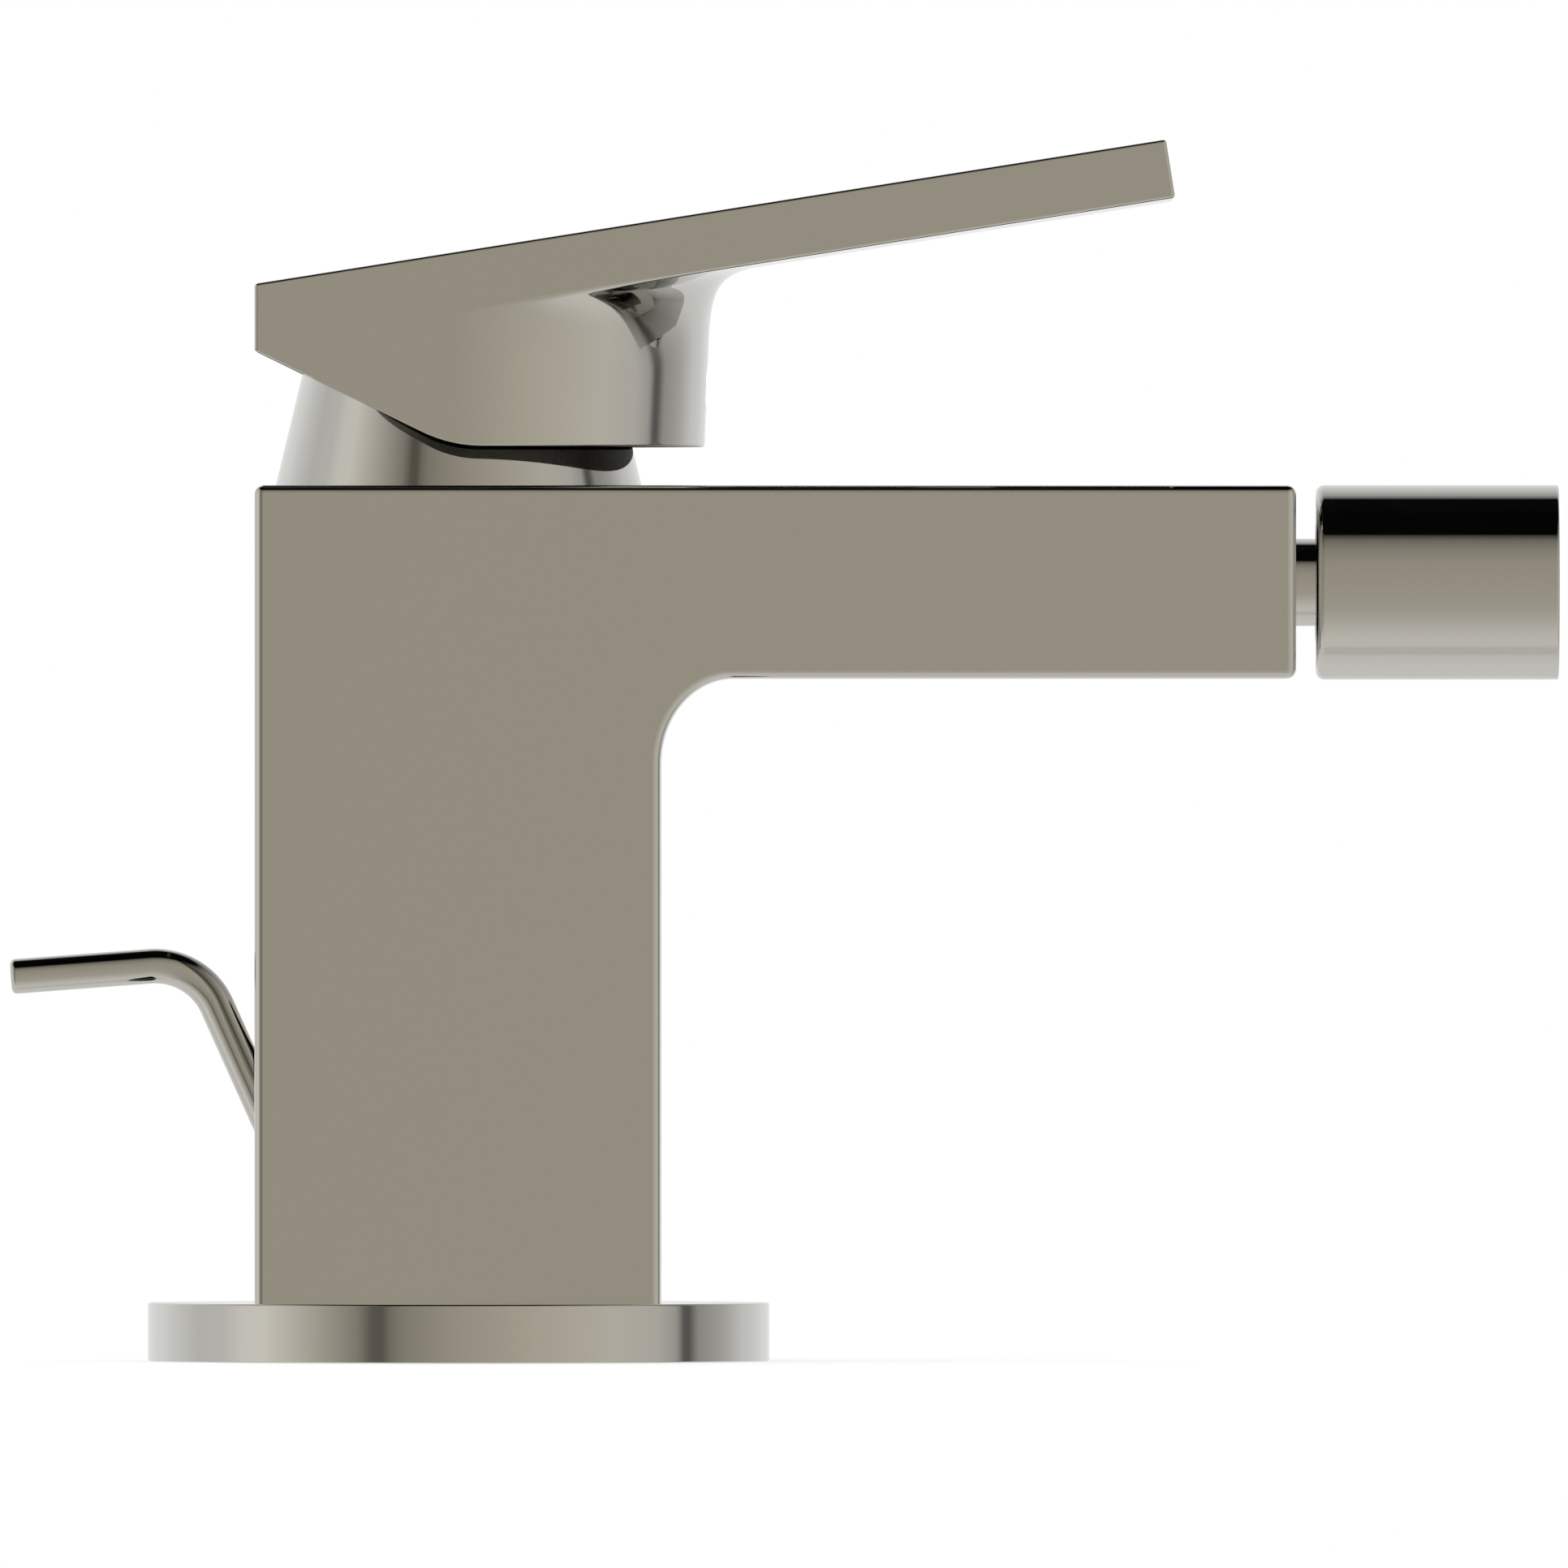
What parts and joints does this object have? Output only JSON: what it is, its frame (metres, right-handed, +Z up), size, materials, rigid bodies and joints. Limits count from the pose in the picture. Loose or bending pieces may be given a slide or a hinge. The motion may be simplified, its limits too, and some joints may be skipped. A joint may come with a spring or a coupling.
{
  "type": "bidet mixer",
  "caption": "Single-lever deck bidet mixer with a square column and flat arm, a swivelling spray nozzle, a flat lever and a pop-up waste rod.",
  "frame": {"origin": "centre of the round base flange, on the deck it stands on", "axes": "+X towards the spray nozzle, +Z up, +Y towards the cold inlet"},
  "size_m": [0.1911, 0.0768, 0.1505],
  "materials": {
    "nickel_body": "polished",
    "plain_brass": "satin",
    "white_acetal": "satin",
    "dark_acetal": "satin",
    "seal_rubber": "matte",
    "disc_ceramic": "gloss",
    "stainless": "satin"
  },
  "bodies": {
    "tap": {"body_casting": "nickel_body", "inlet_block": "plain_brass", "inlet_pipes": "plain_brass", "base_flange": "nickel_body", "base_seal": "seal_rubber", "cone_cover": "nickel_body", "cartridge_nut": "plain_brass", "cartridge_housing": "white_acetal", "cartridge_base": "dark_acetal", "housing_seal": "seal_rubber", "port_seals": "seal_rubber", "fixed_disc": "disc_ceramic", "disc_seals": "seal_rubber", "nozzle_nipple": "nickel_body", "nipple_seal": "seal_rubber", "rod_bush": "white_acetal"},
    "mixer": {"turret": "dark_acetal", "stem_pin": "stainless"},
    "lever": {"lever_stem": "plain_brass", "handle": "nickel_body", "grub_screw": "stainless"},
    "disc": {"moving_disc": "disc_ceramic", "disc_carriage": "white_acetal"},
    "liner": {"ball_liner": "white_acetal"},
    "ball_ring": {"ball_seal": "seal_rubber"},
    "nozzle": {"nozzle_casing": "nickel_body", "ball_gland": "plain_brass", "aerator_washer": "seal_rubber", "flow_regulator": "dark_acetal", "aerator_body": "white_acetal", "outlet_grid": "stainless"},
    "rod": {"popup_rod": "nickel_body"}
  },
  "joints": [
    {"name": "mix_turn", "type": "hinge", "parent": "tap", "child": "mixer", "pos_m": [0, 0, 0.112], "axis": [0, 0, 1], "range_deg": [-45, 45]},
    {"name": "lever_lift", "type": "hinge", "parent": "mixer", "child": "lever", "pos_m": [0, 0, 0.112], "axis": [0, -1, 0], "range_deg": [0, 25]},
    {"name": "disc_slide", "type": "slide", "parent": "mixer", "child": "disc", "axis": [1, 0, 0], "range_m": [0, 0.0062]},
    {"name": "nozzle_pitch", "type": "hinge", "parent": "tap", "child": "liner", "pos_m": [0.11375, 0, 0.09602], "axis": [0, 1, 0], "range_deg": [-8, 8]},
    {"name": "nozzle_yaw", "type": "hinge", "parent": "liner", "child": "ball_ring", "pos_m": [0.11375, 0, 0.09602], "axis": [0, 0, 1], "range_deg": [-8, 8]},
    {"name": "nozzle_spin", "type": "hinge", "parent": "ball_ring", "child": "nozzle", "pos_m": [0.11375, 0, 0.09602], "axis": [1, 0, 0], "continuous": true},
    {"name": "rod_slide", "type": "slide", "parent": "tap", "child": "rod", "axis": [-0.4099, 0, 0.9121], "range_m": [0, 0.02]}
  ],
  "couplings": [
    {"joint": "disc_slide", "follows": "lever_lift", "m_per_rad": 0.01356}
  ]
}
